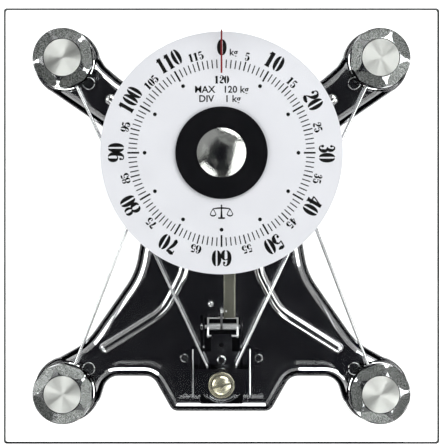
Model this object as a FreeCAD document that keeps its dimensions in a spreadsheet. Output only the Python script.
import FreeCAD, Part

import math
import os
import re

import Sketcher
from FreeCAD import Placement, Rotation, Vector

# Mechanical dial scale with a square glass platform, 120 kg in 1 kg divisions.
# Frame: origin on the floor under the middle of the glass, +Z up, +X right, +Y towards the dial.
# Millimetres throughout. The rest pose is the unloaded scale, with the dial on zero.

SIZES = {
    # glass platform and its reading line
    "glass_side": 280.0, "glass_gauge": 8.0, "glass_corner": 2.0, "glass_low": 36.0,
    "line_width": 1.1, "line_length": 28.0, "line_gauge": 0.15, "line_front": 99.0,
    # corner knobs, their turned discs and the posts that press on the levers
    "knob_across": 103.0, "knob_along": 109.0, "knob_diameter": 39.1, "knob_low": 26.0,
    "knob_height": 9.9, "knob_rim": 6.8, "disc_diameter": 24.0, "disc_gauge": 1.0,
    "post_diameter": 14.0, "post_low": 22.9, "spigot_diameter": 10.0, "spigot_length": 5.0,
    # pressed base, feet and corner pads
    "sheet_gauge": 1.8, "base_low": 3.0, "base_top": 16.0, "pad_top": 20.0, "pad_diameter": 39.6,
    "flange_diameter": 43.6, "rib_radius": 4.6, "rib_height": 2.0, "screw_across": 87.6,
    "screw_along": 94.1, "recess_radius": 10.6, "recess_depth": 0.5, "bay_radius": 6.2,
    # levers, with their knife pins
    "lever_wire": 2.0, "lever_height": 24.0, "knife_pin": 1.8, "knife_length": 11.0,
    "long_arm": 14.0, "short_arm": 16.55, "tip_across": 9.0, "tip_along": -92.3, "tip_height": 28.0,
    "hook_across": 57.1, "hook_along": 10.7,
    # calibrating plate and its load spring
    "plate_low": 13.0, "plate_gauge": 1.5, "plate_width": 25.2, "plate_back": -83.0,
    "plate_nose": 13.4, "nose_radius": 17.7, "rivet_along": -88.5,
    "tongue_width": 14.0, "tongue_gauge": 1.2, "tongue_back": -71.5, "tongue_front": -92.0,
    "spring_along": -103.4, "spring_diameter": 16.5, "spring_wire": 2.0, "spring_turns": 4.5,
    "window_width": 27.9, "window_front": -117.6, "window_back": -58.9,
    # spring bridge and zero screw
    "bridge_width": 38.6, "bridge_gauge": 1.4, "bridge_low": 30.0,
    "bridge_front": -109.5, "bridge_back": -80.0, "bar_back": -93.0, "screw_head": 13.0,
    "screw_shank": 5.0, "bridge_screw_across": 24.5, "bridge_screw_along": -87.0,
    # dust cover under the mechanism
    "cover_low": 2.0, "cover_gauge": 1.0, "cover_width": 60.0, "cover_front": -121.5,
    "cover_back": -42.0, "cover_corner": 3.0, "cover_post": 5.0,
    "cover_post_across": 25.0, "cover_post_front": -106.0, "cover_post_back": -48.0,
    # bell crank
    "crank_along": -67.0, "crank_height": 9.45, "axle_diameter": 3.0, "finger_arm": 7.084,
    "upright_arm": 20.0, "crank_half_swing": 0.6, "crank_pin": 1.6, "sleeve_diameter": 5.4,
    # rack, pinion and dial
    "rack_low": 23.6, "rack_gauge": 1.2, "rack_left": 1.4, "rack_right": 9.1,
    "gear_module": 0.4, "pinion_teeth": 18, "pinion_gauge": 2.0, "dial_along": 47.6,
    "dial_diameter": 158.0, "dial_low": 29.6, "dial_gauge": 0.8, "shaft_diameter": 4.0,
    "hub_diameter": 60.0, "hub_gauge": 2.2, "dome_diameter": 32.0, "dome_height": 2.4,
}

doc = FreeCAD.newDocument("DialScale")
sheet = doc.addObject("Spreadsheet::Sheet", "Sizes")
for row, (alias, value) in enumerate(SIZES.items(), start=1):
    sheet.set(f"A{row}", alias)
    sheet.set(f"B{row}", str(value))
    sheet.setAlias(f"B{row}", alias)
doc.recompute()

parts = []
corners = {"rear_left": (-1, 1), "rear_right": (1, 1), "front_left": (-1, -1), "front_right": (1, -1)}
sides = {"left": -1, "right": 1}


def size(alias):
    return float(getattr(sheet, alias))


def bound(text):
    """An expression with every size name in it pointed at the sheet."""
    return re.sub(r"[a-z_]+", lambda word: ("Sizes." if word[0] in SIZES else "") + word[0], text)


def number(entry):
    return float(sheet.evalExpression(entry)) if isinstance(entry, str) else float(entry)


def bind(obj, prop, entry):
    if isinstance(entry, str):
        obj.setExpression(prop, bound(entry))
    else:
        setattr(obj, prop, entry)


# ---------------------------------------------------------------- PartDesign helpers

def new_body(label, x=0, y=0, z=0, turn=0):
    body = doc.addObject("PartDesign::Body", "Body_" + label)
    body.Label = label
    body.Placement = Placement(Vector(number(x), number(y), number(z)), Rotation(Vector(0, 0, 1), turn))
    for axis, entry in zip("xyz", (x, y, z)):
        if isinstance(entry, str):
            body.setExpression(f"Placement.Base.{axis}", bound(entry))
    parts.append(body)
    return body


def pin_point(sketch, geometry, end, x, y):
    """Fixes one sketch point at x, y from the origin, each bound to the sheet where it is a text."""
    for axis, entry, line in (("X", x, -2), ("Y", y, -1)):
        if number(entry) == 0:
            sketch.addConstraint(Sketcher.Constraint("PointOnObject", geometry, end, line))
            continue
        index = sketch.addConstraint(
            Sketcher.Constraint("Distance" + axis, -1, 1, geometry, end, number(entry)))
        if isinstance(entry, str):
            sketch.setExpression(f"Constraints[{index}]", bound(entry))


def new_sketch(body, loops, role="XY_Plane", offset=0):
    """A sketch of closed loops: a list of x, y corners, or a circle as (x, y, radius)."""
    sketch = body.newObject("Sketcher::SketchObject", "Sketch_" + body.Label)
    plane = next(item for item in body.Origin.OriginFeatures if item.Role == role)
    sketch.AttachmentSupport = [(plane, "")]
    sketch.MapMode = "FlatFace"
    if isinstance(offset, str):
        sketch.setExpression("AttachmentOffset.Base.z", bound(offset))
    else:
        sketch.AttachmentOffset = Placement(Vector(0, 0, offset), Rotation())
    for loop in loops:
        if isinstance(loop, tuple):
            x, y, radius = loop
            circle = sketch.addGeometry(
                Part.Circle(Vector(number(x), number(y), 0), Vector(0, 0, 1), number(radius)))
            pin_point(sketch, circle, 3, x, y)
            index = sketch.addConstraint(Sketcher.Constraint("Radius", circle, number(radius)))
            if isinstance(radius, str):
                sketch.setExpression(f"Constraints[{index}]", bound(radius))
            continue
        points = [Vector(number(x), number(y), 0) for x, y in loop]
        lines = [sketch.addGeometry(Part.LineSegment(points[i], points[(i + 1) % len(points)]))
                 for i in range(len(points))]
        for i, line in enumerate(lines):
            sketch.addConstraint(
                Sketcher.Constraint("Coincident", line, 2, lines[(i + 1) % len(lines)], 1))
            pin_point(sketch, line, 1, *loop[i])
    return sketch


def add_feature(body, kind, sketch, length=None, midplane=False, reverse=False):
    before = body.Shape.Volume if body.Tip else 0.0
    feature = body.newObject("PartDesign::" + kind, kind + "_" + body.Label)
    feature.Profile = sketch
    if kind in ("Pad", "Pocket"):
        bind(feature, "Length", length)
        feature.Midplane = midplane
        feature.Reversed = reverse
    else:
        feature.ReferenceAxis = (sketch, ["V_Axis"])
        feature.Angle = 360
    doc.recompute()
    if kind in ("Pocket", "Groove"):
        assert body.Shape.Volume < before - 1e-6, f"{body.Label}: {kind} removed nothing"
    return feature


def pad(body, loops, length, offset=0, role="XY_Plane", midplane=False):
    return add_feature(body, "Pad", new_sketch(body, loops, role, offset), length, midplane)


def pocket(body, loops, length, offset=0, role="XY_Plane", midplane=False, reverse=False):
    return add_feature(body, "Pocket", new_sketch(body, loops, role, offset), length, midplane, reverse)


def revolve(body, profile):
    """Turns a closed profile of radius, height corners about the body's own Z axis."""
    return add_feature(body, "Revolution", new_sketch(body, [profile], "XZ_Plane"))


def dress(body, kind, amount, wanted):
    """Fillet or Chamfer on the edges for which wanted(edge) is true."""
    base = body.Tip
    names = [f"Edge{i}" for i, edge in enumerate(base.Shape.Edges, start=1) if wanted(edge)]
    feature = body.newObject("PartDesign::" + kind, kind + "_" + body.Label)
    feature.Base = (base, names)
    bind(feature, "Radius" if kind == "Fillet" else "Size", amount)
    doc.recompute()
    return feature


def rectangle(x_low, x_high, y_low, y_high):
    return [(x_low, y_low), (x_high, y_low), (x_high, y_high), (x_low, y_high)]


def upright(edge):
    """True for a straight vertical edge."""
    first, last = edge.Vertexes[0].Point, edge.Vertexes[-1].Point
    return abs(first.z - last.z) > 0.1 and math.hypot(first.x - last.x, first.y - last.y) < 1e-6


# ---------------------------------------------------------------- Part helpers

def set_part(label, shape, placement=Placement()):
    """A sub-part whose solid is built with Part's own functions."""
    feature = doc.addObject("Part::Feature", "Solid_" + label)
    feature.Label = label
    feature.Shape = shape
    feature.Placement = placement
    parts.append(feature)
    return feature


def rod(start, end, radius):
    run = end - start
    return Part.makeCylinder(radius, run.Length, start, run)


def block(x_low, x_high, y_low, y_high, z_low, z_high):
    return Part.makeBox(x_high - x_low, y_high - y_low, z_high - z_low, Vector(x_low, y_low, z_low))


def joined(shapes):
    return shapes[0].multiFuse(shapes[1:]).removeSplitter() if len(shapes) > 1 else shapes[0]


def bent_wire(points, radius, bend):
    """A round wire through the points, with a bend of the given radius at each inner one."""
    edges, start = [], points[0]
    for before, corner, after in zip(points, points[1:], points[2:]):
        back, on = (before - corner).normalize(), (after - corner).normalize()
        half = back.getAngle(on) / 2
        reach = bend / math.tan(half)
        enter, leave = corner + back * reach, corner + on * reach
        middle = corner + (back + on).normalize() * (bend / math.sin(half) - bend)
        edges += [Part.LineSegment(start, enter).toShape(), Part.Arc(enter, middle, leave).toShape()]
        start = leave
    edges.append(Part.LineSegment(start, points[-1]).toShape())
    profile = Part.Wire(Part.makeCircle(radius, points[0], points[1] - points[0]))
    return Part.Wire(edges).makePipeShell([profile], True, True)


def coil(radius, wire, pitch, height):
    """A coil spring's wire about +Z, from height 0 up."""
    spine = Part.makeHelix(pitch, height, radius)
    lead = Vector(0, 2 * math.pi * radius, pitch)
    profile = Part.Wire(Part.makeCircle(wire / 2, Vector(radius, 0, 0), lead))
    return Part.Wire(spine).makePipeShell([profile], True, True)


# ---------------------------------------------------------------- platform

glass_top = "glass_low + glass_gauge"
half_glass = "glass_side / 2"

glass = new_body("glass_platform", z="glass_low")
pad(glass, [rectangle("-glass_side / 2", half_glass, "-glass_side / 2", half_glass)], "glass_gauge")
dress(glass, "Fillet", "glass_corner", upright)
dress(glass, "Chamfer", 0.6, lambda edge: not upright(edge))

line = new_body("reading_line", y="line_front", z="glass_low - line_gauge")
pad(line, [rectangle("-line_width / 2", "line_width / 2", 0, "line_length")], "line_gauge")

knob_radius, disc_radius = size("knob_diameter") / 2, size("disc_diameter") / 2
knob_stars = {"rear_left": 44, "rear_right": -5, "front_left": 36, "front_right": 6}


def corner_knob(name, across, along):
    """A knob turned to a low dome, then milled with five flats; its top takes the spun disc."""
    body = new_body("corner_knob_" + name, z="knob_low", turn=knob_stars[name] - 36)
    body.setExpression("Placement.Base.x", bound(f"{across} * knob_across"))
    body.setExpression("Placement.Base.y", bound(f"{along} * knob_along"))
    revolve(body, [(0, "spigot_length"), ("spigot_diameter / 2", "spigot_length"),
                   ("spigot_diameter / 2", 0), ("knob_diameter / 2 - 0.6", 0),
                   ("knob_diameter / 2", 0.6), ("knob_diameter / 2", "knob_rim"),
                   ("knob_diameter / 2 - 0.5", "knob_rim + 0.9"),
                   ("knob_diameter / 2 - 1.8", "knob_rim + 1.7"),
                   ("knob_diameter / 2 - 4.2", "knob_rim + 2.5"),
                   ("disc_diameter / 2 + 0.6", "knob_height"),
                   ("disc_diameter / 2", "knob_height"),
                   ("disc_diameter / 2", "knob_height - disc_gauge"),
                   (0, "knob_height - disc_gauge")])
    flat = pocket(body, [[("disc_diameter / 2 + 0.3", "knob_height + 1"),
                          ("disc_diameter / 2 + 0.3", "knob_height - 0.15"),
                          ("knob_diameter / 2 - 0.9", "knob_rim - 0.2"),
                          ("knob_diameter / 2 + 3", "knob_rim - 0.2"),
                          ("knob_diameter / 2 + 3", "knob_height + 1")]],
                  60, role="XZ_Plane", midplane=True)
    pattern = body.newObject("PartDesign::PolarPattern", "Flats_" + name)
    pattern.Originals = [flat]
    axis = next(item for item in body.Origin.OriginFeatures if item.Role == "Z_Axis")
    pattern.Axis = (axis, [""])
    pattern.Angle = 360
    pattern.Occurrences = 5
    body.Tip = pattern


def knob_disc(name, across, along):
    body = new_body("knob_disc_" + name, z="knob_low + knob_height - disc_gauge")
    body.setExpression("Placement.Base.x", bound(f"{across} * knob_across"))
    body.setExpression("Placement.Base.y", bound(f"{along} * knob_along"))
    revolve(body, [(0, 0), ("disc_diameter / 2 - 0.02", 0), ("disc_diameter / 2 - 0.02", "disc_gauge"),
                   (0, "disc_gauge")])


for name, (across, along) in corners.items():
    corner_knob(name, across, along)
    knob_disc(name, across, along)

# ---------------------------------------------------------------- lever layout

wire = size("lever_wire") / 2
pin = size("knife_pin") / 2
up = Vector(0, 0, 1)


def lever_plan(kind, side):
    """Fulcrum, load point and tip of a lever, and its unit directions along and across."""
    mirror = sides[side]
    level = size("lever_height")
    load_along = size("knob_along") * (1 if kind == "long" else -1)
    load = Vector(mirror * size("knob_across"), load_along, level)
    if kind == "long":
        tip = Vector(mirror * size("tip_across"), size("tip_along"), size("tip_height"))
    else:
        tip = Vector(mirror * size("hook_across"), size("hook_along"), hook_height() - 2 * wire - 0.35)
    flat = Vector(tip.x - load.x, tip.y - load.y, 0)
    ahead = Vector(flat).normalize()
    fulcrum = load - ahead * size(kind + "_arm")
    return fulcrum, load, tip, ahead, Vector(-ahead.y, ahead.x, 0)


def bearing_point(kind, side):
    """Where the post under the knob bears on the lever."""
    fulcrum, load, tip, ahead, across = lever_plan(kind, side)
    return fulcrum + Vector(tip - fulcrum).normalize() * size(kind + "_arm")


def hook_height():
    """Height of the long lever's axis where the short lever hangs on it."""
    fulcrum, load, tip, ahead, across = lever_plan("long", "left")
    hook = Vector(-size("hook_across"), size("hook_along"), 0)
    share = (hook - fulcrum).dot(ahead) / (tip - fulcrum).dot(ahead)
    return fulcrum.z + share * (tip.z - fulcrum.z)


def load_post(name, kind, side):
    """Post under a knob: its inverted vee bears on the lever's load pin, its slot clears the wire."""
    fulcrum, load, tip, ahead, across = lever_plan(kind, side)
    low, top, radius = size("post_low"), size("knob_low"), size("post_diameter") / 2
    shape = joined([Part.makeCylinder(radius, top - low, Vector(0, 0, low)),
                    Part.makeCylinder(size("spigot_diameter") / 2 - 0.03, size("spigot_length"),
                                      Vector(0, 0, top))])
    level = bearing_point(kind, side).z
    slot = block(-radius, radius, -wire - 0.6, wire + 0.6, low - 1, level + wire + 0.45)
    ceiling = level + pin + 0.1
    vee = Part.makePolygon([Vector(-pin - 1.6, -radius, low - 1), Vector(pin + 1.6, -radius, low - 1),
                            Vector(pin + 0.25, -radius, ceiling), Vector(-pin - 0.25, -radius, ceiling),
                            Vector(-pin - 1.6, -radius, low - 1)])
    groove = Part.Face(vee).extrude(Vector(0, 2 * radius, 0))
    turn = Rotation(Vector(1, 0, 0), ahead)
    set_part("load_post_" + name, shape.cut([slot, groove]), Placement(Vector(load.x, load.y, 0), turn))


def lever(kind, side):
    """A steel wire lever with its fulcrum and load pins pressed through it."""
    fulcrum, load, tip, ahead, across = lever_plan(kind, side)
    slope = Vector(tip - fulcrum).normalize()
    points = [fulcrum - slope * 3.5, tip]
    if kind == "long":
        points.append(Vector(tip.x, tip.y, size("plate_low") + size("plate_gauge") + 0.25))
        shape = bent_wire(points, wire, 2.4)
    else:
        shape = rod(points[0], tip + slope * 5, wire)
    reach = across * (size("knife_length") / 2)
    pins = [rod(point - reach, point + reach, pin) for point in (fulcrum, bearing_point(kind, side))]
    set_part(f"{kind}_lever_{side}", joined([shape] + pins))


def fulcrum_block(name, kind, side):
    """Channel on the corner pad whose two cheeks carry the lever's fulcrum pin in vees."""
    fulcrum, load, tip, ahead, across = lever_plan(kind, side)
    pad_top = size("pad_top")
    outline = Part.makePolygon([
        Vector(0, -6.5, pad_top), Vector(0, 6.5, pad_top), Vector(0, 6.5, fulcrum.z + 1.2),
        Vector(0, 2.4, fulcrum.z + 1.2), Vector(0, 2.4, pad_top + 1.2), Vector(0, -2.4, pad_top + 1.2),
        Vector(0, -2.4, fulcrum.z + 1.2), Vector(0, -6.5, fulcrum.z + 1.2), Vector(0, -6.5, pad_top)])
    channel = Part.Face(outline).extrude(Vector(5, 0, 0))
    channel.translate(Vector(-2.5, 0, 0))
    seat = fulcrum.z - pin * math.sqrt(2) - 0.2
    rise = fulcrum.z + 2 - seat
    vee = Part.makePolygon([Vector(0, -7, seat), Vector(rise, -7, seat + rise),
                            Vector(-rise, -7, seat + rise), Vector(0, -7, seat)])
    groove = Part.Face(vee).extrude(Vector(0, 14, 0))
    turn = Rotation(Vector(1, 0, 0), ahead)
    set_part("fulcrum_block_" + name, channel.cut(groove), Placement(Vector(fulcrum.x, fulcrum.y, 0), turn))


def lever_link(side):
    """Closed stirrup round both wires: the short lever hangs in it under the long lever."""
    fulcrum, load, tip, ahead, across = lever_plan("long", side)
    centre = Vector(sides[side] * size("hook_across"), size("hook_along"), hook_height())
    top, foot = wire + 0.9, -3 * wire - 0.35 - 0.3 - 0.9
    outer = block(-3.6, 3.6, -0.6, 0.6, foot, top + 0.3)
    inner = block(-2.6, 2.6, -1, 1, foot + 0.9, top - 0.9 + 0.3)
    shape = outer.cut(inner)
    saddle = block(-2.6, 2.6, -0.6, 0.6, wire * 0.2, top).cut(
        rod(Vector(0, -2, 0), Vector(0, 2, 0), wire))
    shape = joined([shape, saddle])
    turn = Rotation(Vector(0, 1, 0), ahead)
    set_part("lever_link_" + side, shape, Placement(centre, turn))


for side in sides:
    for kind, end in (("long", "rear_"), ("short", "front_")):
        lever(kind, side)
        load_post(end + side, kind, side)
        fulcrum_block(end + side, kind, side)
    lever_link(side)

# ---------------------------------------------------------------- pressed base and feet

gauge = size("sheet_gauge")
base_low, base_top = size("base_low"), size("base_top")

bracket_rivet_along = size("crank_along") + 15.5

# Left half of the outline, from the rear middle round to the front middle: x, y, bend radius.
half_outline = [
    (-38, 82, 30), (-66, 96.5, 40), (-77.5, 106.5, 12), (-88.5, 124.5, 2), (-116.2, 91.6, 2),
    (-79, 66, 30), (-58, 48, 30), (-51, 8, 60), (-57.5, -31, 45), (-90, -77.5, 40),
    (-113.9, -90.7, 2), (-92, -127.2, 2), (-81, -116, 10), (-76.2, -100.2, 10), (-45.9, -100.2, 9),
    (-32.7, -123.6, 6),
]
full_outline = half_outline + [(-x, y, bend) for x, y, bend in reversed(half_outline)]


def outline_wire(inset, height, corner_points=full_outline):
    """The base's outline moved inwards by inset: straight runs joined by arcs."""
    count = len(corner_points)
    places = [Vector(x, y, height) for x, y, bend in corner_points]
    moved, bends = [], []
    for i, place in enumerate(places):
        back = (place - places[i - 1]).normalize()
        on = (places[(i + 1) % count] - place).normalize()
        inward_back, inward_on = Vector(-back.y, back.x, 0), Vector(-on.y, on.x, 0)
        moved.append(place + (inward_back + inward_on) * (inset / (1 + inward_back.dot(inward_on))))
        convex = back.cross(on).z > 0
        bend = corner_points[i][2]
        bends.append(max(bend - inset, 0.4) if convex else bend + inset)
    enters, arcs, leaves = [], [], []
    for i, corner in enumerate(moved):
        back, on = (moved[i - 1] - corner).normalize(), (moved[(i + 1) % count] - corner).normalize()
        half = back.getAngle(on) / 2
        reach = bends[i] / math.tan(half)
        middle = corner + (back + on).normalize() * (bends[i] / math.sin(half) - bends[i])
        enters.append(corner + back * reach)
        leaves.append(corner + on * reach)
        arcs.append(Part.Arc(enters[i], middle, leaves[i]).toShape())
    edges = []
    for i in range(count):
        edges += [arcs[i], Part.LineSegment(leaves[i], enters[(i + 1) % count]).toShape()]
    return Part.Wire(edges)


def stepped(sections):
    """A solid through the outline at each height, inset pair."""
    return Part.makeLoft([outline_wire(inset, height) for height, inset in sections], True, True)


def pad_dome(sections):
    """The same for a round corner pad: a profile of height, radius turned about the pad's axis."""
    points = [Vector(0, 0, sections[0][0])] + [Vector(radius, 0, height) for height, radius in sections]
    points += [Vector(0, 0, sections[-1][0]), Vector(0, 0, sections[0][0])]
    return Part.Face(Part.makePolygon(points)).revolve(Vector(), up, 360)


def at_corners(shape):
    spots = [Vector(x * size("knob_across"), y * size("knob_along"), 0) for x, y in corners.values()]
    copies = []
    for spot in spots:
        copy = shape.copy()
        copy.translate(spot)
        copies.append(copy)
    return copies


def base_shell():
    """Pressed steel pan: beaded rim, sloped walls, flat top, four raised round pads and four ribs."""
    pad_radius, flange_radius = size("pad_diameter") / 2, size("flange_diameter") / 2
    pad_top = size("pad_top")
    rim_top = base_low + gauge
    skin = [stepped([(base_low, 0.6), (base_low + 0.9, 0), (rim_top, 0.6)]),
            stepped([(rim_top - 0.2, 1.4), (rim_top + 2.4, 2.4), (base_top - 3.2, 3.4),
                     (base_top - 1.0, 4.7), (base_top, 6.6)])]
    skin += at_corners(pad_dome([(base_low, flange_radius - 0.5), (base_low + 0.9, flange_radius),
                                 (rim_top, flange_radius - 0.5)]))
    skin += scalloped(pad_dome([(rim_top - 0.2, pad_radius + 1.0), (pad_top - 1.4, pad_radius),
                                (pad_top - 0.4, pad_radius - 0.3), (pad_top, pad_radius - 0.9)]), 0)
    hollow = [stepped([(base_low - 1, 1.4 + gauge), (base_top - gauge - 1.4, 4.4 + gauge),
                       (base_top - gauge, 6.4 + gauge)])]
    hollow += scalloped(pad_dome([(base_low - 1, pad_radius + 1.0 - gauge),
                                  (pad_top - gauge, pad_radius - gauge)]), gauge)
    rib_lines = [front_rib_line(mirror) for mirror in sides.values()]
    rib_lines += [rear_rib_line(mirror) for mirror in sides.values()]
    above = block(-150, 150, -150, 150, base_top - gauge + 0.1, pad_top + 5)
    skin += [rib(line, size("rib_radius")).common(above) for line in rib_lines]
    hollow += [rib(line, size("rib_radius") - gauge) for line in rib_lines]
    half_window = size("window_width") / 2
    window = block(-half_window, half_window, size("window_front"), size("window_back"), 0, pad_top)
    shell = joined(skin).cut(joined(hollow)).cut(window)
    pad_columns = at_corners(Part.makeCylinder(pad_radius + 0.4, pad_top))
    for x, y in screw_spots():
        recess = Part.makeCylinder(size("recess_radius"), 2, Vector(x, y, base_top - size("recess_depth")))
        bay = Part.makeCylinder(size("bay_radius"), 2, Vector(x, y, base_top - size("recess_depth")))
        drill = Part.makeCylinder(2.05, 8, Vector(x, y, base_top - 6))
        shell = shell.cut([recess.cut(pad_columns), bay, drill])
    holes = [(0, size("dial_along"), 3.0)]
    holes += [(x, y, 1.55) for x, y in bridge_screw_spots()]
    holes += [(x * 7, bracket_rivet_along, 1.3) for x in sides.values()]
    holes += [(x * 20.2, size("dial_along"), 1.3) for x in sides.values()]
    drills = [Part.makeCylinder(radius, 8, Vector(x, y, base_top - 5)) for x, y, radius in holes]
    set_part("base_shell", shell.cut(drills))


def screw_spots():
    return [(x * size("screw_across"), y * size("screw_along")) for x, y in corners.values()]


def bridge_screw_spots():
    return [(x * size("bridge_screw_across"), size("bridge_screw_along")) for x in sides.values()]


def scalloped(dome, wall):
    """The corner pads, each with a round bay that leaves room for the corner screw's head."""
    floor_height = base_top - size("recess_depth") - wall
    bays = [Part.makeCylinder(size("bay_radius") + wall, 10, Vector(x, y, floor_height))
            for x, y in screw_spots()]
    return [pad.cut(bay) for pad, bay in zip(at_corners(dome), bays)]


def front_rib_line(mirror):
    return [Vector(mirror * x, y, 0) for x, y in ((22, -12), (25.5, -32), (38, -56), (77, -80.5))]


def rear_rib_line(mirror):
    return [Vector(mirror * 73.5, 83.7, 0), Vector(mirror * 47, 62, 0)]


def rib(line, radius):
    """A round-topped bead pressed up out of the pan along a bent line."""
    level = Vector(0, 0, base_top + size("rib_height") - size("rib_radius"))
    spots = [point + level for point in line]
    ends = [Part.makeSphere(radius, spots[0]), Part.makeSphere(radius, spots[-1])]
    return joined([bent_wire(spots, radius, 30)] + ends)


base_shell()

for name, (across, along) in corners.items():
    foot = new_body("rubber_foot_" + name)
    foot.setExpression("Placement.Base.x", bound(f"{across} * knob_across"))
    foot.setExpression("Placement.Base.y", bound(f"{along} * knob_along"))
    revolve(foot, [(0, 0), ("flange_diameter / 2 - 1.5", 0), ("flange_diameter / 2", 1),
                   ("flange_diameter / 2", "base_low"),
                   ("pad_diameter / 2 - 1.0", "base_low"), ("pad_diameter / 2 - 1.2", "base_low + 4"),
                   (0, "base_low + 4")])

screws = []
for x, y in screw_spots():
    seat_height = base_top - size("recess_depth")
    head = Part.makeCylinder(4.3, 1.8, Vector(x, y, seat_height))
    head = head.makeFillet(0.7, [edge for edge in head.Edges if edge.BoundBox.ZMin > seat_height + 0.5])
    socket = Part.makeCylinder(3.0, 2, Vector(x, y, seat_height + 0.9))
    slot = block(x - 5, x + 5, y - 0.6, y + 0.6, seat_height + 0.5, base_top + 3)
    shank = Part.makeCylinder(2.0, 8, Vector(x, y, seat_height - 8))
    screws.append(joined([head, shank]).cut([socket, slot]))
    nut = Part.Face(Part.makePolygon([Vector(x + 4 * math.cos(math.radians(60 * i)),
                                             y + 4 * math.sin(math.radians(60 * i)),
                                             base_top - gauge - 3.2) for i in range(7)]))
    nut = nut.extrude(Vector(0, 0, 3.2)).cut(Part.makeCylinder(2.0, 9, Vector(x, y, base_top - 8.5)))
    screws.append(nut)
set_part("corner_screws", Part.makeCompound(screws))

# ---------------------------------------------------------------- calibrating plate and load spring

plate_top = "plate_low + plate_gauge"

plate = new_body("calibrating_plate", y="spring_along", z="plate_low")
front_turn = math.asin(size("plate_width") / 2 / size("nose_radius"))
plate_sketch = new_sketch(plate, [])


def plate_outline():
    """Rounded front edge, straight sides and back, drawn about the load spring's axis."""
    half, back = size("plate_width") / 2, size("plate_back") - size("spring_along")
    apex = -size("plate_nose")
    start = Vector(-half, apex + size("nose_radius") * (1 - math.cos(front_turn)), 0)
    end = Vector(half, start.y, 0)
    plate_sketch.addGeometry(Part.Arc(start, Vector(0, apex, 0), end))
    corners_left = [end, Vector(half, back, 0), Vector(-half, back, 0), start]
    for first, last in zip(corners_left, corners_left[1:]):
        plate_sketch.addGeometry(Part.LineSegment(first, last))
    for i in range(4):
        plate_sketch.addConstraint(Sketcher.Constraint("Coincident", i, 2, (i + 1) % 4, 1))
    pin_point(plate_sketch, 1, 1, "plate_width / 2", start.y)
    pin_point(plate_sketch, 2, 1, "plate_width / 2", "plate_back - spring_along")
    pin_point(plate_sketch, 3, 1, "-plate_width / 2", "plate_back - spring_along")
    pin_point(plate_sketch, 3, 2, "-plate_width / 2", start.y)
    index = plate_sketch.addConstraint(Sketcher.Constraint("Radius", 0, size("nose_radius")))
    plate_sketch.setExpression(f"Constraints[{index}]", bound("nose_radius"))


plate_outline()
add_feature(plate, "Pad", plate_sketch, "plate_gauge")
pocket(plate, [(0, 0, 1.6), (0, "rivet_along - spring_along", 1.25)], 3, offset=-1, reverse=True)
lip_corners = [("-plate_nose + 0.1", "plate_gauge - 0.2"), ("-plate_nose + 3.3", "plate_gauge - 0.2"),
               ("-plate_nose + 3.1", "plate_gauge"), ("-plate_nose + 0.1", "plate_gauge + 2.2")]
lip = new_sketch(plate, [lip_corners], "YZ_Plane")
lip_turn = add_feature(plate, "Revolution", lip)
lip_turn.Midplane = True
lip_turn.Angle = 84

tongue = new_body("plate_tongue", z=plate_top)
pad(tongue, [rectangle("-tongue_width / 2", "tongue_width / 2", "tongue_front", "tongue_back"),
             (0, "rivet_along", 1.25), (0, -78.5, 1.5)], "tongue_gauge")
dress(tongue, "Fillet", 2.0, lambda edge: upright(edge) and abs(edge.CenterOfMass.x) > 6)

rivet = new_body("plate_rivet", y="rivet_along", z="plate_low - 1.1")
revolve(rivet, [(0, 0), (1.7, 0), (2.0, 0.5), (2.0, 1.1), (1.22, 1.1),
                (1.22, "1.1 + plate_gauge + tongue_gauge"), (3.0, "1.1 + plate_gauge + tongue_gauge"),
                (2.8, "1.6 + plate_gauge + tongue_gauge"), (2.2, "1.9 + plate_gauge + tongue_gauge"),
                (0, "2.0 + plate_gauge + tongue_gauge")])

seat = new_body("spring_seat", y="spring_along", z="plate_low - 1.2")
revolve(seat, [(0, 0), (3.2, 0), (3.2, 1.2), (1.55, 1.2), (1.55, "1.2 + plate_gauge"),
               ("spring_diameter / 2 - spring_wire - 0.25", "1.2 + plate_gauge"),
               ("spring_diameter / 2 - spring_wire - 0.25", "3.6 + plate_gauge"),
               (0, "3.6 + plate_gauge")])

spring_low = size("plate_low") + size("plate_gauge") + size("spring_wire") / 2 + 0.05
spring_rise = 10.4
load_coil = coil(size("spring_diameter") / 2 - size("spring_wire") / 2, size("spring_wire"),
                 spring_rise / size("spring_turns"), spring_rise)
set_part("load_spring", load_coil, Placement(Vector(0, size("spring_along"), spring_low), Rotation()))

plug = new_body("spring_plug", y="spring_along", z=23.4)
revolve(plug, [("screw_shank / 2 + 0.05", 0), ("spring_diameter / 2 - spring_wire - 0.25", 0),
               ("spring_diameter / 2 - spring_wire - 0.25", 3.7), ("spring_diameter / 2 + 0.4", 3.7),
               ("spring_diameter / 2 + 0.4", 4.9), ("screw_shank / 2 + 0.05", 4.9)])

# ---------------------------------------------------------------- spring bridge and zero screw

bridge_low, bridge_gauge = size("bridge_low"), size("bridge_gauge")
half_bridge = size("bridge_width") / 2


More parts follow.
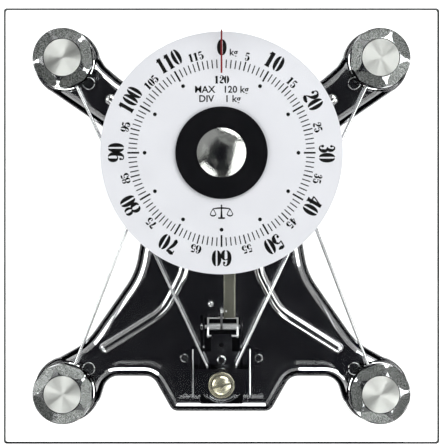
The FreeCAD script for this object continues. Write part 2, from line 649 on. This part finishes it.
def spring_bridge():
    """U of thick plated sheet over the window: top bar, two side walls and a foot on each side."""
    back, front = size("bridge_back"), size("bridge_front")
    top = bridge_low + bridge_gauge
    bar = block(-half_bridge, half_bridge, front, size("bar_back"), bridge_low, top)
    shapes = [bar]
    for mirror in sides.values():
        outer, inner = mirror * half_bridge, mirror * (half_bridge - bridge_gauge)
        x_low, x_high = min(outer, inner), max(outer, inner)
        wall = block(x_low, x_high, front, back, base_top, top)
        foot_edge = mirror * (half_bridge + 9)
        foot = block(min(inner, foot_edge), max(inner, foot_edge), -92, -82, base_top,
                     base_top + bridge_gauge)
        shapes += [wall, foot]
    shape = joined(shapes)
    hole = Part.makeCylinder(size("screw_shank") / 2 + 0.05, 6,
                             Vector(0, size("spring_along"), bridge_low - 2))
    drills = [Part.makeCylinder(1.55, 6, Vector(x, y, base_top - 1)) for x, y in bridge_screw_spots()]
    long_bends = [edge for edge in shape.Edges
                  if edge.BoundBox.ZMin > top - 0.01
                  and abs(abs(edge.CenterOfMass.x) - half_bridge) < 0.01 and edge.BoundBox.YLength > 5]
    shape = shape.makeFillet(1.2, long_bends)
    set_part("spring_bridge", shape.cut([hole] + drills))


spring_bridge()


def pan_screw(x, y, seat_height, head_radius, shank_radius, depth):
    """Small pan-head screw: slotted head on its seat, plain shank below."""
    head = Part.makeCylinder(head_radius, head_radius * 0.6, Vector(x, y, seat_height))
    rim = [edge for edge in head.Edges if edge.BoundBox.ZMin > seat_height + 0.1]
    head = head.makeFillet(head_radius * 0.25, rim)
    slot = block(x - head_radius, x + head_radius, y - 0.35, y + 0.35,
                 seat_height + head_radius * 0.35, seat_height + head_radius)
    shank = Part.makeCylinder(shank_radius, depth, Vector(x, y, seat_height - depth))
    return joined([head, shank]).cut(slot)


set_part("bridge_screws", Part.makeCompound(
    [pan_screw(x, y, base_top + bridge_gauge, 2.8, 1.5, 6) for x, y in bridge_screw_spots()]))

zero = new_body("zero_screw", y="spring_along", z="bridge_low + bridge_gauge", turn=13)
revolve(zero, [(0, -9.4), ("screw_shank / 2 - 0.5", -9.4), ("screw_shank / 2", -8.9),
               ("screw_shank / 2", 0.05), ("screw_head / 2 + 1.9", 0.05), ("screw_head / 2 + 1.9", 0.5),
               ("screw_head / 2 + 1.6", 0.75), ("screw_head / 2 + 0.2", 0.75), ("screw_head / 2", 1.3),
               ("screw_head / 2 - 0.5", 2.0), ("screw_head / 2 - 1.5", 2.6), ("screw_head / 2 - 3.2", 3.1),
               ("screw_head / 2 - 5.0", 3.3), (0, 3.35)])
pocket(zero, [rectangle("-screw_head / 2 - 0.1", "screw_head / 2 + 0.1", -0.7, 0.7)], 3, offset=1.7,
       reverse=True)

# ---------------------------------------------------------------- dust cover under the mechanism

cover = new_body("bottom_cover", z="cover_low")
pad(cover, [rectangle("-cover_width / 2", "cover_width / 2", "cover_front", "cover_back")], "cover_gauge")
dress(cover, "Fillet", "cover_corner", lambda edge: abs(edge.BoundBox.ZLength - size("cover_gauge")) < 0.01)
cover_top = size("cover_low") + size("cover_gauge")
set_part("cover_posts", Part.makeCompound(
    [Part.makeCylinder(size("cover_post") / 2, base_top - gauge - cover_top,
                       Vector(x * size("cover_post_across"), size("cover_post_" + end), cover_top))
     for x in sides.values() for end in ("front", "back")]))

# ---------------------------------------------------------------- bell crank and its bracket

crank_spot = Vector(0, size("crank_along"), size("crank_height"))
half_swing = size("crank_half_swing")
axle_radius, sleeve_radius = size("axle_diameter") / 2, size("sleeve_diameter") / 2


def on_crank(reach, turn):
    """Point in the crank's own plane: reach from the axle, turn up from the finger's side (-Y)."""
    return crank_spot + Vector(0, -reach * math.cos(turn), reach * math.sin(turn))


def crank_arm(x_low, x_high, far, near_radius, far_radius):
    """Flat tapered arm from the sleeve out to the point far, between two X faces."""
    run = far - crank_spot
    ahead = Vector(run).normalize()
    across = Vector(0, -ahead.z, ahead.y)
    corners_flat = [crank_spot + across * near_radius, far + across * far_radius,
                    far - across * far_radius, crank_spot - across * near_radius]
    face = Part.Face(Part.makePolygon(corners_flat + corners_flat[:1]))
    arm = face.extrude(Vector(x_high - x_low, 0, 0))
    tip = Part.makeCylinder(far_radius, x_high - x_low, far, Vector(1, 0, 0))
    arm = joined([arm, tip])
    arm.translate(Vector(x_low, 0, 0))
    return arm


def bell_crank():
    """Sleeve on the axle with a finger bar under the plate, a rear bar and an upright arm."""
    finger = on_crank(size("finger_arm"), half_swing)
    rear = on_crank(6.3, math.pi - 0.24)
    top = on_crank(size("upright_arm"), math.pi / 2 + half_swing)
    left, right = -9.5, 11.3
    along = Vector(right - left, 0, 0)
    shapes = [Part.makeCylinder(sleeve_radius, right - left, crank_spot + Vector(left, 0, 0),
                                Vector(1, 0, 0))]
    for x_low in (left, right - 1.2):
        for far in (finger, rear):
            shapes.append(crank_arm(x_low, x_low + 1.2, far, sleeve_radius - 0.2, 1.5))
    for far in (finger, rear):
        shapes.append(Part.makeCylinder(0.8, right - left, far + Vector(left, 0, 0), along))
    shapes.append(crank_arm(-0.7, 0.7, top, sleeve_radius - 0.2, 1.5))
    shapes.append(Part.makeCylinder(size("crank_pin") / 2, 4.0, top + Vector(-0.5, 0, 0), along))
    bore = Part.makeCylinder(axle_radius + 0.05, 40, crank_spot - Vector(20, 0, 0), Vector(1, 0, 0))
    set_part("bell_crank", joined(shapes).cut(bore))


bell_crank()


def crank_bracket():
    """Stamped U riveted to the pan; its two ears hang through the window and carry the axle."""
    middle = size("crank_along")
    top = block(-12.3, 13.5, middle + 6.7, middle + 21.2, base_top, base_top + 1.2)
    notch = block(-2.2, 2.2, middle + 6, middle + 9.6, base_top - 1, base_top + 2)
    ears = [block(x_low, x_low + 1.2, middle - 14.4, middle + 7.7, 5.0, base_top + 1.2)
            for x_low in (-12.3, 12.3)]
    shape = joined([top] + ears)
    ear_corners = [edge for edge in shape.Edges
                   if 1 < edge.BoundBox.XLength < 1.3 and edge.CenterOfMass.y < middle - 13.4]
    shape = shape.makeFillet(3, ear_corners)
    bore = Part.makeCylinder(axle_radius + 0.02, 40, crank_spot - Vector(20, 0, 0), Vector(1, 0, 0))
    drills = [Part.makeCylinder(1.3, 6, Vector(x * 7, bracket_rivet_along, base_top - 2))
              for x in sides.values()]
    set_part("crank_bracket", shape.cut([bore, notch] + drills))


def button_rivet(x, y, low, high, radius):
    """Rivet through two sheets: domed head above, flat head below."""
    shank = Part.makeCylinder(radius, high - low, Vector(x, y, low))
    tail = Part.makeCylinder(radius * 1.6, 0.7, Vector(x, y, low - 0.7))
    ball = Part.makeSphere(radius * 2.2, Vector(x, y, high - radius * 1.2))
    dome = ball.common(Part.makeCylinder(radius * 2, radius * 2, Vector(x, y, high)))
    return joined([shank, tail, dome])


crank_bracket()
set_part("bracket_rivets", Part.makeCompound(
    [button_rivet(x * 7, bracket_rivet_along, base_top - gauge, base_top + 1.2, 1.25)
     for x in sides.values()]))

axle = new_body("crank_axle", x=-1.0, y="crank_along", z="crank_height")
pad(axle, [(0, 0, "axle_diameter / 2")], 33.2, role="YZ_Plane", midplane=True)
dress(axle, "Chamfer", 0.4, lambda edge: True)

clips = []
for x in (-13.6, 13.6):
    ring = Part.makeCylinder(2.6, 0.6, Vector(x, crank_spot.y, crank_spot.z), Vector(1, 0, 0))
    clips.append(ring.cut(Part.makeCylinder(axle_radius, 2, Vector(x - 0.5, crank_spot.y, crank_spot.z),
                                            Vector(1, 0, 0))))
set_part("axle_clips", Part.makeCompound(clips))

# ---------------------------------------------------------------- rack, its guides and return spring

rack_low, rack_gauge = size("rack_low"), size("rack_gauge")
rack_left, rack_right = size("rack_left"), size("rack_right")
module, teeth = size("gear_module"), int(size("pinion_teeth"))
pitch_radius = module * teeth / 2
pressure = math.radians(20)
tooth_pitch = math.pi * module
backlash = 0.08
dial_spot = Vector(0, size("dial_along"), 0)
slack = 0.42


def rack_tooth(middle):
    """One straight-sided tooth on the slot's left edge, pointing towards the pinion."""
    root, tip = -pitch_radius - 1.25 * module, -pitch_radius + module
    half_pitch = tooth_pitch / 4 - backlash / 2
    half_root = half_pitch + 1.25 * module * math.tan(pressure)
    half_tip = half_pitch - module * math.tan(pressure)
    flank = [Vector(root - 0.3, middle - half_root, rack_low), Vector(root, middle - half_root, rack_low),
             Vector(tip, middle - half_tip, rack_low), Vector(tip, middle + half_tip, rack_low),
             Vector(root, middle + half_root, rack_low), Vector(root - 0.3, middle + half_root, rack_low)]
    return Part.Face(Part.makePolygon(flank + flank[:1])).extrude(up * rack_gauge)


def rack_bar():
    """Flat bar with an upturned forked tab in front and a closed toothed slot round the pinion."""
    pin_at = on_crank(size("upright_arm"), math.pi / 2 + half_swing)
    front = pin_at.y - 4.6
    stem = block(rack_left, rack_right, front, 40, rack_low, rack_low + rack_gauge)
    stem = stem.makeFillet(0.6, [edge for edge in stem.Edges if edge.BoundBox.YLength > 20
                                 and edge.BoundBox.ZMin > rack_low + 0.1])
    head = block(-9, rack_right, 38, 82, rack_low, rack_low + rack_gauge)
    root = -pitch_radius - 1.25 * module
    slot = block(root, 5.2, 42.3, 77, rack_low - 1, rack_low + 3)
    rack_teeth = [rack_tooth(dial_spot.y + tooth_pitch * (i - 2)) for i in range(24)]
    tab = block(rack_left, rack_left + 1.2, front, pin_at.y + 4.6, rack_low, 31.6)
    half_fork = size("crank_pin") / 2 + slack
    fork = block(rack_left - 1, rack_left + 2, pin_at.y - half_fork, pin_at.y + half_fork,
                 rack_low + rack_gauge + 0.02, 30.9)
    ear = block(rack_right - 0.1, 14.2, 15.6, 18.6, rack_low, rack_low + rack_gauge)
    ear = ear.cut(Part.makeCylinder(0.7, 4, Vector(12.4, 17.1, rack_low - 1)))
    set_part("rack_bar", joined([stem, head.cut(slot), tab.cut(fork), ear] + rack_teeth))


def rack_guide(label, x_low, x_high, y_low, y_high, open_side=None):
    """Moulded block on the pan with a window (or a side groove) that the rack slides through."""
    body = block(x_low, x_high, y_low, y_high, base_top, rack_low + rack_gauge + 2.0)
    body = joined([body, Part.makeCylinder(1.9, 1.2, Vector((x_low + x_high) / 2,
                                                            (y_low + y_high) / 2, base_top))])
    if open_side is None:
        gap = block(rack_left - 0.25, rack_right + 0.25, y_low - 1, y_high + 1,
                    rack_low - 0.25, rack_low + rack_gauge + 0.25)
    else:
        gap = block(open_side, x_high + 1, y_low - 1, y_high + 1,
                    rack_low - 0.25, rack_low + rack_gauge + 0.25)
    set_part(label, body.cut(gap))


rack_bar()
rack_guide("rack_guide_front", rack_left - 3, rack_right + 3, -22, -15)
rack_guide("rack_guide_rear", -13, -7.6, 46, 53, open_side=-9.25)

post_spot = Vector(12.4, 66, 0)
set_part("spring_post", joined([
    Part.makeCylinder(1.5, rack_low + 2.4 - base_top, Vector(post_spot.x, post_spot.y, base_top)),
    Part.makeCylinder(3, 1.2, Vector(post_spot.x, post_spot.y, base_top))]).cut(
        Part.makeCylinder(0.45, 8, Vector(post_spot.x, post_spot.y - 4, rack_low + 0.6), Vector(0, 1, 0))))

return_length = 42.0
return_coil = coil(1.9, 0.5, 1.5, return_length)
front_hook = [Vector(1.9, 0, 0.15), Vector(0, -1.0, -1.6), Vector(0, -1.0, -3.5), Vector(0, 1.3, -3.5)]
tails = [rod(start, end, 0.25) for start, end in zip(front_hook, front_hook[1:])]
tails += [Part.makeSphere(0.25, point) for point in front_hook[1:3]]
tails.append(rod(Vector(1.9, 0, return_length - 0.15), Vector(0, 0, return_length + 2.4), 0.25))
set_part("return_spring", joined([return_coil] + tails),
         Placement(Vector(12.4, 20.6, rack_low + 0.6), Rotation(Vector(1, 0, 0), -90)))

# ---------------------------------------------------------------- dial, shaft and pinion

dial = new_body("dial_disc", y="dial_along", z="dial_low")
pad(dial, [(0, 0, "dial_diameter / 2"), (0, 0, "shaft_diameter / 2 + 0.05")], "dial_gauge")

cover = new_body("hub_cover", y="dial_along", z="dial_low + dial_gauge")
revolve(cover, [("shaft_diameter / 2 + 0.05", 0), ("hub_diameter / 2", 0),
                ("hub_diameter / 2", "hub_gauge - 0.6"), ("hub_diameter / 2 - 0.6", "hub_gauge"),
                ("shaft_diameter / 2 + 0.05", "hub_gauge")])


def hub_dome():
    """Spherical cap over the shaft's end."""
    radius, rise = size("dome_diameter") / 2, size("dome_height")
    sphere = (radius ** 2 + rise ** 2) / (2 * rise)
    low = size("dial_low") + size("dial_gauge") + size("hub_gauge")
    ball = Part.makeSphere(sphere, Vector(0, dial_spot.y, low + rise - sphere))
    cap = ball.common(Part.makeCylinder(radius + 1, rise + 1, Vector(0, dial_spot.y, low)))
    set_part("hub_dome", cap)


hub_dome()

shaft = new_body("dial_shaft", y="dial_along")
revolve(shaft, [(0, "base_top - 1.5"), ("shaft_diameter / 2 - 0.4", "base_top - 1.5"),
                ("shaft_diameter / 2", "base_top - 1.1"),
                ("shaft_diameter / 2", "dial_low - 1.0"), (8, "dial_low - 1.0"), (8, "dial_low"),
                ("shaft_diameter / 2", "dial_low"),
                ("shaft_diameter / 2", "dial_low + dial_gauge + hub_gauge"),
                (0, "dial_low + dial_gauge + hub_gauge")])


def involute_point(base_radius, radius, turn):
    """Point of the involute of base_radius at the given radius, turned by turn."""
    ratio = math.sqrt(max((radius / base_radius) ** 2 - 1, 0))
    angle = turn + ratio - math.atan(ratio)
    return Vector(radius * math.cos(angle), radius * math.sin(angle), 0)


def pinion():
    """Involute pinion with a gap facing each rack tooth at rest, on a short boss."""
    base_radius = pitch_radius * math.cos(pressure)
    tip_radius, root_radius = pitch_radius + 0.9 * module, pitch_radius - 1.25 * module
    spread = math.tan(pressure) - pressure
    half_tooth = math.pi / (2 * teeth) - backlash / (2 * pitch_radius) + spread
    steps = 6
    radii = [base_radius + (tip_radius - base_radius) * i / steps for i in range(steps + 1)]
    edges, first, last = [], None, None
    for k in range(teeth):
        middle = math.pi + 2 * math.pi * (k + 0.5) / teeth
        rising = [involute_point(base_radius, radius, middle - half_tooth) for radius in radii]
        mirror = [Vector(p.x * math.cos(2 * middle) + p.y * math.sin(2 * middle),
                         p.x * math.sin(2 * middle) - p.y * math.cos(2 * middle), 0) for p in rising]
        foot_in = Vector(rising[0]).normalize() * root_radius
        foot_out = Vector(mirror[0]).normalize() * root_radius
        if last is not None:
            edges.append(Part.LineSegment(last, foot_in).toShape())
        first = first or foot_in
        flank_in, flank_out = Part.BSplineCurve(), Part.BSplineCurve()
        flank_in.interpolate(rising)
        flank_out.interpolate(mirror[::-1])
        top = Vector(math.cos(middle), math.sin(middle), 0) * tip_radius
        edges += [Part.LineSegment(foot_in, rising[0]).toShape(), flank_in.toShape(),
                  Part.Arc(rising[-1], top, mirror[-1]).toShape(), flank_out.toShape(),
                  Part.LineSegment(mirror[0], foot_out).toShape()]
        last = foot_out
    edges.append(Part.LineSegment(last, first).toShape())
    gear = Part.Face(Part.Wire(edges)).extrude(up * size("pinion_gauge"))
    gear.translate(up * (rack_low - 0.4))
    boss = Part.makeCylinder(2.9, 1.6, Vector(0, 0, rack_low - 0.4 + size("pinion_gauge") - 0.1))
    bore = Part.makeCylinder(size("shaft_diameter") / 2, 12, Vector(0, 0, rack_low - 4))
    set_part("pinion", joined([gear, boss]).cut(bore), Placement(dial_spot, Rotation()))


pinion()

bush = new_body("dial_bush", y="dial_along", z="base_top")
revolve(bush, [("shaft_diameter / 2 + 0.04", -1.8), (2.95, -1.8), (2.95, 0), (7, 0), (7, 1.2),
               (4.5, 1.8), (4.0, 6.6), ("shaft_diameter / 2 + 0.04", 6.6)])


def dial_strap():
    """Low arch over the pinion that steadies the shaft's upper end."""
    low, top, thick = base_top, size("dial_low") - 1.4, 1.2
    y_low, y_high = dial_spot.y - 5, dial_spot.y + 5
    shapes = [block(-17, 17, y_low, y_high, top - thick, top)]
    for mirror in sides.values():
        x_in, x_out, x_foot = mirror * 15.8, mirror * 17, mirror * 23.4
        shapes.append(block(min(x_in, x_out), max(x_in, x_out), y_low, y_high, low, top))
        shapes.append(block(min(x_in, x_foot), max(x_in, x_foot), y_low, y_high, low, low + thick))
    bore = Part.makeCylinder(size("shaft_diameter") / 2 + 0.04, 6, dial_spot + up * (top - 3))
    drills = [Part.makeCylinder(1.3, 6, Vector(x * 20.2, dial_spot.y, low - 2)) for x in sides.values()]
    set_part("dial_strap", joined(shapes).cut([bore] + drills))


dial_strap()
set_part("strap_rivets", Part.makeCompound(
    [button_rivet(x * 20.2, dial_spot.y, base_top - gauge, base_top + 1.2, 1.25) for x in sides.values()]))

# ---------------------------------------------------------------- check and write

doc.recompute()
for item in doc.Objects:
    assert not {"Invalid", "Error"} & set(item.State), f"{item.Label}: {item.State}"
os.makedirs("parts", exist_ok=True)
for part in parts:
    assert not part.Shape.isNull() and part.Shape.isValid(), f"{part.Label}: bad shape"
    assert part.Shape.Volume > 0, f"{part.Label}: no volume"
    part.Shape.exportStep(f"parts/{part.Label}.step")
    print(part.Label, len(part.Shape.Solids), round(part.Shape.Volume, 1))
